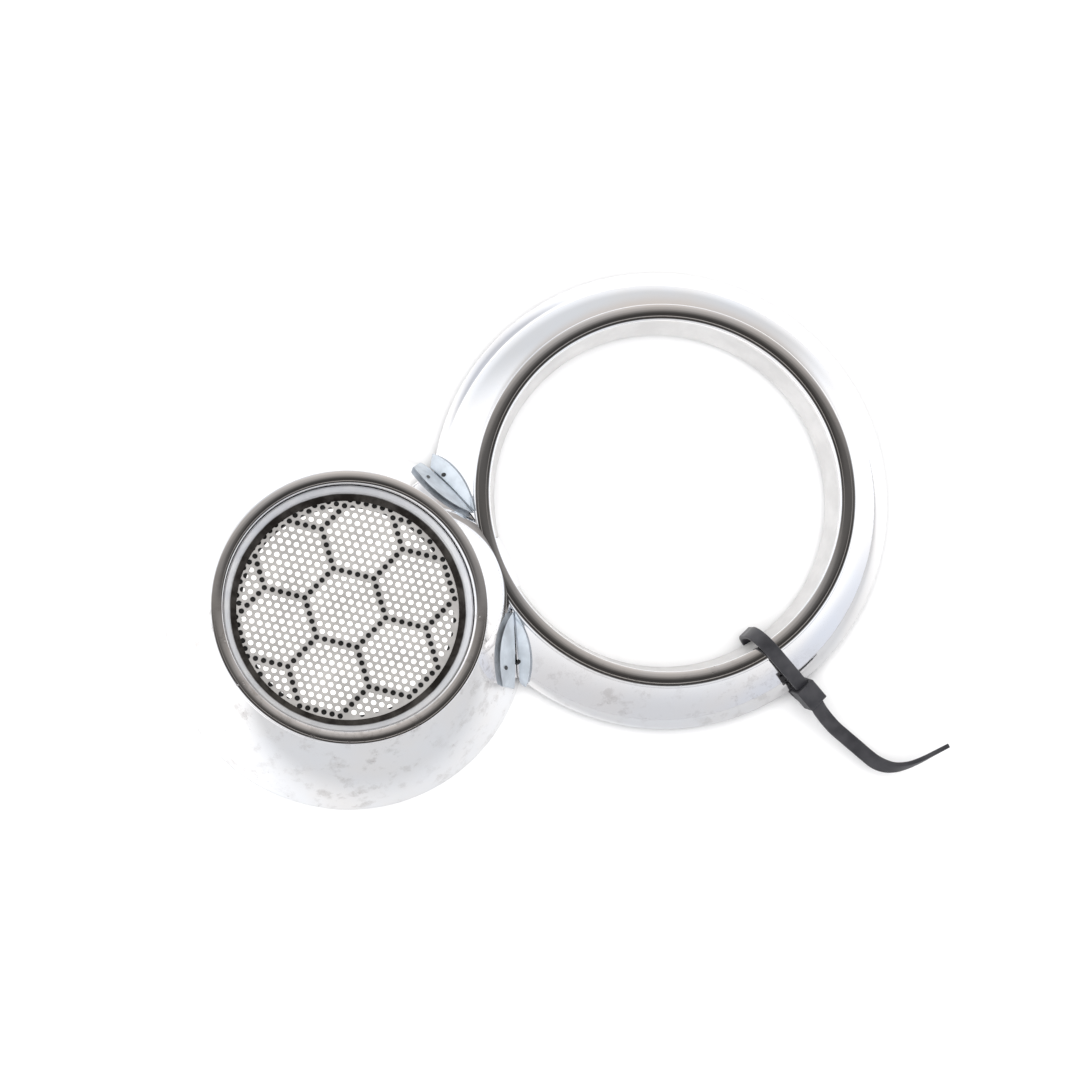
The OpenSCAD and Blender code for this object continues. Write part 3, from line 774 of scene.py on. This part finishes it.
punched_sheet()
softened("grille_ribs", 0.2, segments=1, limit=40)


def scrim():
    """A round of thin cloth, very slightly slack between its edge and the middle."""
    rows, turns = 40, 128
    rings = []
    for i in range(turns):
        a = 2 * math.pi * i / turns
        line = []
        for k in range(rows + 1):
            r = 0.02 + (STACK_R - 0.1 - 0.02) * k / rows
            sag = 0.05 * math.sin(3 * a + 0.4) * math.sin(math.pi * k / rows) ** 2
            line.append((r, 14.93 + sag - 0.05))
        line += [(r, h - 0.22) for r, h in reversed(line)]
        rings.append([turned(POD, r, a, h) for r, h in line])
    verts, faces = revolve(rings)
    return piece("scrim_round", verts, faces, "acoustic_scrim", 60)


scrim()


# ---- cable tie ----
TIE = (
    Matrix.Rotation(rad(-77.7), 4, "Z")
    @ Matrix.Translation((46.0, 0, 0))
    @ Matrix.Rotation(rad(10.5), 4, "Z")
)
PITCH = 19.0
STRAP_W, STRAP_T = 3.6, 1.1
STRAP_EDGE = 0.3
CREST, INNER, OUTER = ((-0.9, 8.35), 5.4), ((-2.7, 4.85), 4.15), ((11.8, 5.05), 4.0)
EXIT = (CREST[0][0] + CREST[1] * math.sin(rad(PITCH)), CREST[0][1] + CREST[1] * math.cos(rad(PITCH)))
HEAD = (14.9, EXIT[1] - (14.9 - EXIT[0]) * math.tan(rad(PITCH)))
TAIL = [
    (16.52, -60.95, 7.77), (17.2, -64, 6.6), (18.8, -68.2, 5.6), (20.7, -71.7, 5.1), (22.6, -75.1, 4.8),
    (24.1, -77.8, 4.5), (25.6, -80.2, 4.4), (27.6, -82.1, 4.4), (29.9, -83.3, 4.5), (32.9, -83.9, 4.6),
    (36.4, -83.9, 4.8), (40.4, -83.5, 5), (44.3, -83.1, 5.2),
]
TAIL_TURN = [0, 0, 2, 4, 7, 12, 26, 48, 66, 78, 84, 88, 88]
TAIL_WIDTH = [0.98, 1, 1, 1, 1, 1, 1, 1, 1, 0.95, 0.85, 0.7, 0.5]


def strap_section(width):
    """Rounded outline of the strap, as (across, through) points."""
    points = []
    for cx, cy, start in ((1, 1, 0), (-1, 1, 90), (-1, -1, 180), (1, -1, 270)):
        mx, my = cx * (width / 2 - STRAP_EDGE), cy * (STRAP_T / 2 - STRAP_EDGE)
        points += arc((mx, my), STRAP_EDGE, start, start + 90, 4)
    return points


def sweep(verts, faces, centres, acrosses, throughs, widths):
    """Adds a closed sweep of the strap's section along the given frames."""
    rings = []
    for c, a, t, w in zip(centres, acrosses, throughs, widths):
        rings.append([MM * (c + a * u + t * v) for u, v in strap_section(w)])
    count = len(rings[0])
    start = len(verts)
    for ring in rings:
        verts.extend(ring)
    for i in range(len(rings) - 1):
        for k in range(count):
            m = (k + 1) % count
            a, b = start + i * count, start + (i + 1) * count
            faces.append((a + k, a + m, b + m, b + k))
    faces.append(tuple(start + k for k in reversed(range(count))))
    faces.append(tuple(start + (len(rings) - 1) * count + k for k in range(count)))


def straight(a, b, steps):
    """Points after a along the line from a to b, with b the last."""
    dx, dy = (b[0] - a[0]) / steps, (b[1] - a[1]) / steps
    return [(a[0] + dx * k, a[1] + dy * k) for k in range(1, steps + 1)]


def loop_line():
    """Middle line of the loop in the tie's (x, z) plane, from under the head round to the head."""
    line = arc(*OUTER, 1.65, -90, 24)
    bottom = arc(*INNER, -90, -180, 22)
    line += straight(line[-1], bottom[0], 16)[:-1]
    line += bottom
    line += arc(*CREST, 180, 90 - PITCH, 34)
    end = (HEAD[0] + 3.4 * math.cos(rad(PITCH)), HEAD[1] - 3.4 * math.sin(rad(PITCH)))
    line += straight(line[-1], end, 14)
    clean = [line[0]]
    for p in line[1:]:
        if math.dist(p, clean[-1]) > 0.12:
            clean.append(p)
    return clean


def smooth_path(points, values, steps):
    """Catmull-Rom curve through the points, with the values carried along."""
    out, carried = [], []
    last = len(points) - 1
    for i in range(last):
        p0, p1, p2, p3 = (points[max(i - 1, 0)], points[i], points[i + 1], points[min(i + 2, last)])
        v0, v1, v2, v3 = (values[max(i - 1, 0)], values[i], values[i + 1], values[min(i + 2, last)])
        for k in range(steps if i < last - 1 else steps + 1):
            t = k / steps

            def blend(a, b, c, d):
                square = 2 * a - 5 * b + 4 * c - d
                cube = 3 * b - a - 3 * c + d
                return 0.5 * (2 * b + (c - a) * t + square * t * t + cube * t ** 3)

            out.append(blend(p0, p1, p2, p3))
            carried.append(blend(v0, v1, v2, v3))
    return out, carried


def tie_strap():
    verts, faces = [], []
    line = loop_line()
    centres, acrosses, throughs = [], [], []
    for i, (x, z) in enumerate(line):
        a, b = line[max(i - 1, 0)], line[min(i + 1, len(line) - 1)]
        along = Vector((b[0] - a[0], 0, b[1] - a[1])).normalized()
        across = Vector((0, 1, 0))
        centres.append(TIE @ Vector((x, 0, z)))
        acrosses.append(TIE.to_3x3() @ across)
        throughs.append(TIE.to_3x3() @ across.cross(along))
    sweep(verts, faces, centres, acrosses, throughs, [STRAP_W] * len(line))
    points = [Vector(p) for p in TAIL]
    values = [Vector((t, w, 0)) for t, w in zip(TAIL_TURN, TAIL_WIDTH)]
    path, carried = smooth_path(points, values, 8)
    centres, acrosses, throughs, widths = [], [], [], []
    for i, p in enumerate(path):
        ahead = (path[min(i + 1, len(path) - 1)] - path[max(i - 1, 0)]).normalized()
        side = Vector((0, 0, 1)).cross(ahead).normalized()
        up = ahead.cross(side)
        turn = rad(carried[i].x)
        across = side * math.cos(turn) + up * math.sin(turn)
        centres.append(p)
        acrosses.append(across)
        throughs.append(ahead.cross(across))
        widths.append(STRAP_W * min(1.0, carried[i].y))
    widths[-1] *= 0.6
    widths[-2] *= 0.85
    sweep(verts, faces, centres, acrosses, throughs, widths)
    return piece("strap", verts, faces, "tie_strap", 40)


tie_strap()


softened("tie_head", 0.45, segments=4, limit=40)
softened("tie_pawl", 0.08)

# ---- flanges and the rest of the CAD pieces ----
softened("pod_flanges", 0.18, segments=3, limit=38, clean=0.05)
softened("ring_flanges", 0.18, segments=3, limit=38, clean=0.05)
for node, width in (
    ("rear_cover", 0.25), ("connector_shroud", 0.25), ("crossover_board", 0.1),
    ("crossover_capacitor", 0.5), ("connector_pins", 0.08), ("terminal_tabs", 0.08),
    ("ring_sleeve", 0.2), ("push_nuts", 0.08), ("cover_screws", 0.12), ("driver_screws", 0.12),
    ("driver_faceplate", 0.2), ("magnet_cup", 0.3), ("pole_plate", 0.2), ("magnet_disc", 0.2),
    ("flange_pins", 0.06), ("cover_seal", 0.1),
):
    softened(node, width)
for node in ("driver_gasket", "dome_diaphragm", "dome_surround", "coil_former", "coil_winding"):
    obj = frame["nodes"][node]
    obj.data.materials.clear()
    obj.data.materials.append(MAT[NODE_SLOT[node]])


# ---- floor and light ----
FLOOR_WHITE = (0.93, 0.93, 0.93, 1)


def floor():
    """A white floor. Reflections see painted shade on it: greyer in front of the piece and behind the pod.
    """
    mesh = bpy.data.meshes.new("floor")
    size = 3.0
    corners = [(-size, -size, 0), (size, -size, 0), (size, size, 0), (-size, size, 0)]
    mesh.from_pydata(corners, [], [(0, 1, 2, 3)])
    obj = bpy.data.objects.new("floor", mesh)
    scene.collection.objects.link(obj)
    mat, n, s = material("floor_white")
    # Painted shade, seen only in reflections: the floor greyer towards the front of the picture and in a
    # patch behind the pod.
    low = n.math("MULTIPLY", n.along(picture(0.35, -0.94, 0)), 10.0)
    reflected_floor_shade = n.mix(n.ramp(low, (0.15, 0.0), (0.75, 1.0)), FLOOR_WHITE, (0.50, 0.505, 0.515, 1))
    spot = n.add("ShaderNodeVectorMath", operation="DISTANCE")
    n.link(n.place(), spot.inputs[0])
    spot.inputs[1].default_value = picture(-0.078, 0.078, 0)
    far_shade_patch = n.ramp(n.math("MULTIPLY", spot.outputs["Value"], 10.0), (0.22, 1.0), (0.60, 0.0))
    reflected_floor_shade = n.mix(far_shade_patch, reflected_floor_shade, (0.42, 0.43, 0.46, 1))
    seen = n.add("ShaderNodeLightPath").outputs["Is Camera Ray"]
    n.link(n.mix(seen, reflected_floor_shade, FLOOR_WHITE), s.inputs["Base Color"])
    s.inputs["Roughness"].default_value = 0.9
    s.inputs["Specular IOR Level"].default_value = 0.2
    mesh.materials.append(mat)
    obj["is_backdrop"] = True
    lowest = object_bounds()[0].z
    obj.location.z = min(0.0, lowest) - 0.0002


floor()


def world():
    """A white studio with a dark oval roof, seen only in reflections and as light on the piece."""
    w = bpy.data.worlds.new("studio")
    scene.world = w
    w.use_nodes = True
    n = Nodes(w.node_tree)
    out = n.add("ShaderNodeOutputWorld")
    look = n.add("ShaderNodeBackground")
    plain = n.add("ShaderNodeBackground")
    plain.inputs[0].default_value = (1, 1, 1, 1)
    plain.inputs[1].default_value = 1.0
    direction = n.add("ShaderNodeTexCoord").outputs["Generated"]

    def toward(v):
        node = n.add("ShaderNodeVectorMath", operation="DOT_PRODUCT")
        n.link(direction, node.inputs[0])
        node.inputs[1].default_value = v
        return node.outputs["Value"]

    right, up, tall = toward(picture(1, 0, 0)), toward(picture(0, 1, 0)), toward((0, 0, 1))
    # The roof's oval, in directions: 0 at its middle and 1 at its edge.
    a = n.math("MULTIPLY", n.math("SUBTRACT", right, 0.1), 1 / 0.68)
    b = n.math("MULTIPLY", n.math("SUBTRACT", up, 0.17), 1 / 0.74)
    oval = n.math("SQRT", n.math("ADD", n.math("MULTIPLY", a, a), n.math("MULTIPLY", b, b)))
    dark = n.ramp(n.math("MULTIPLY", oval, 0.5), (0.45, 1.0), (0.55, 0.0))
    dark = n.math("MULTIPLY", dark, n.ramp(tall, (0.0, 0.0), (0.12, 1.0)))
    lean = n.math("MULTIPLY_ADD", up, 0.5, 0.5)
    # The walls: white, greyer in front and behind, with a blue patch low on the right.
    front = n.ramp(lean, (0.0, 1.0), (0.45, 0.0))
    side_way = picture(math.cos(rad(-32)), math.sin(rad(-32)), 0)
    side = n.ramp(n.math("MULTIPLY_ADD", toward(side_way), 0.5, 0.5), (0.9, 0.0), (0.985, 1.0))
    high = n.ramp(tall, (0.0, 0.35), (0.25, 1.0))
    back = n.math("MULTIPLY", n.ramp(up, (0.45, 0.0), (0.8, 1.0)), high)
    wall = n.mix(back, (1.12, 1.13, 1.16, 1), (0.70, 0.71, 0.73, 1))
    wall = n.mix(front, wall, (0.66, 0.66, 0.68, 1))
    wall = n.mix(n.math("MULTIPLY", side, 0.6), wall, (0.62, 0.66, 0.76, 1))
    # The roof grows lighter towards the back, and has a thin bright strip round it.
    rise = n.ramp(lean, (0.0, 0.06), (0.50, 0.045), (0.58, 0.10), (0.66, 0.24), (0.76, 0.42), (0.92, 0.66))
    strip = n.math("ABSOLUTE", n.math("SUBTRACT", oval, 0.62))
    strip = n.ramp(strip, (0.0, 1.0), (0.035, 1.0), (0.075, 0.0))
    strip = n.math("MULTIPLY", strip, n.ramp(lean, (0.2, 1.0), (0.45, 0.55), (0.62, 0.35), (0.8, 0.7)))
    rise = n.math("MAXIMUM", rise, n.math("MULTIPLY", strip, 0.55))
    roof_tone = n.mix(rise, (0.0, 0.0, 0.0, 1), (1.0, 0.94, 0.90, 1))
    n.link(n.mix(dark, wall, roof_tone), look.inputs[0])
    look.inputs[1].default_value = 1.0
    switch = n.add("ShaderNodeMixShader")
    n.link(n.add("ShaderNodeLightPath").outputs["Is Camera Ray"], switch.inputs[0])
    n.link(look.outputs[0], switch.inputs[1])
    n.link(plain.outputs[0], switch.inputs[2])
    n.link(switch.outputs[0], out.inputs[0])


world()


def lamp(name, spot, aim, size, power):
    """A square area lamp that lights the piece but isn't seen in its reflections."""
    data = bpy.data.lights.new(name, "AREA")
    data.shape = "SQUARE"
    data.size = size
    data.energy = power
    obj = bpy.data.objects.new(name, data)
    scene.collection.objects.link(obj)
    obj.location = spot
    obj.rotation_mode = "QUATERNION"
    obj.rotation_quaternion = (Vector(aim) - Vector(spot)).to_track_quat("-Z", "Y")
    obj.visible_glossy = False


lamp("overhead", (-0.03, 0, 1.6), (-0.03, 0, 0), 2.2, 34)
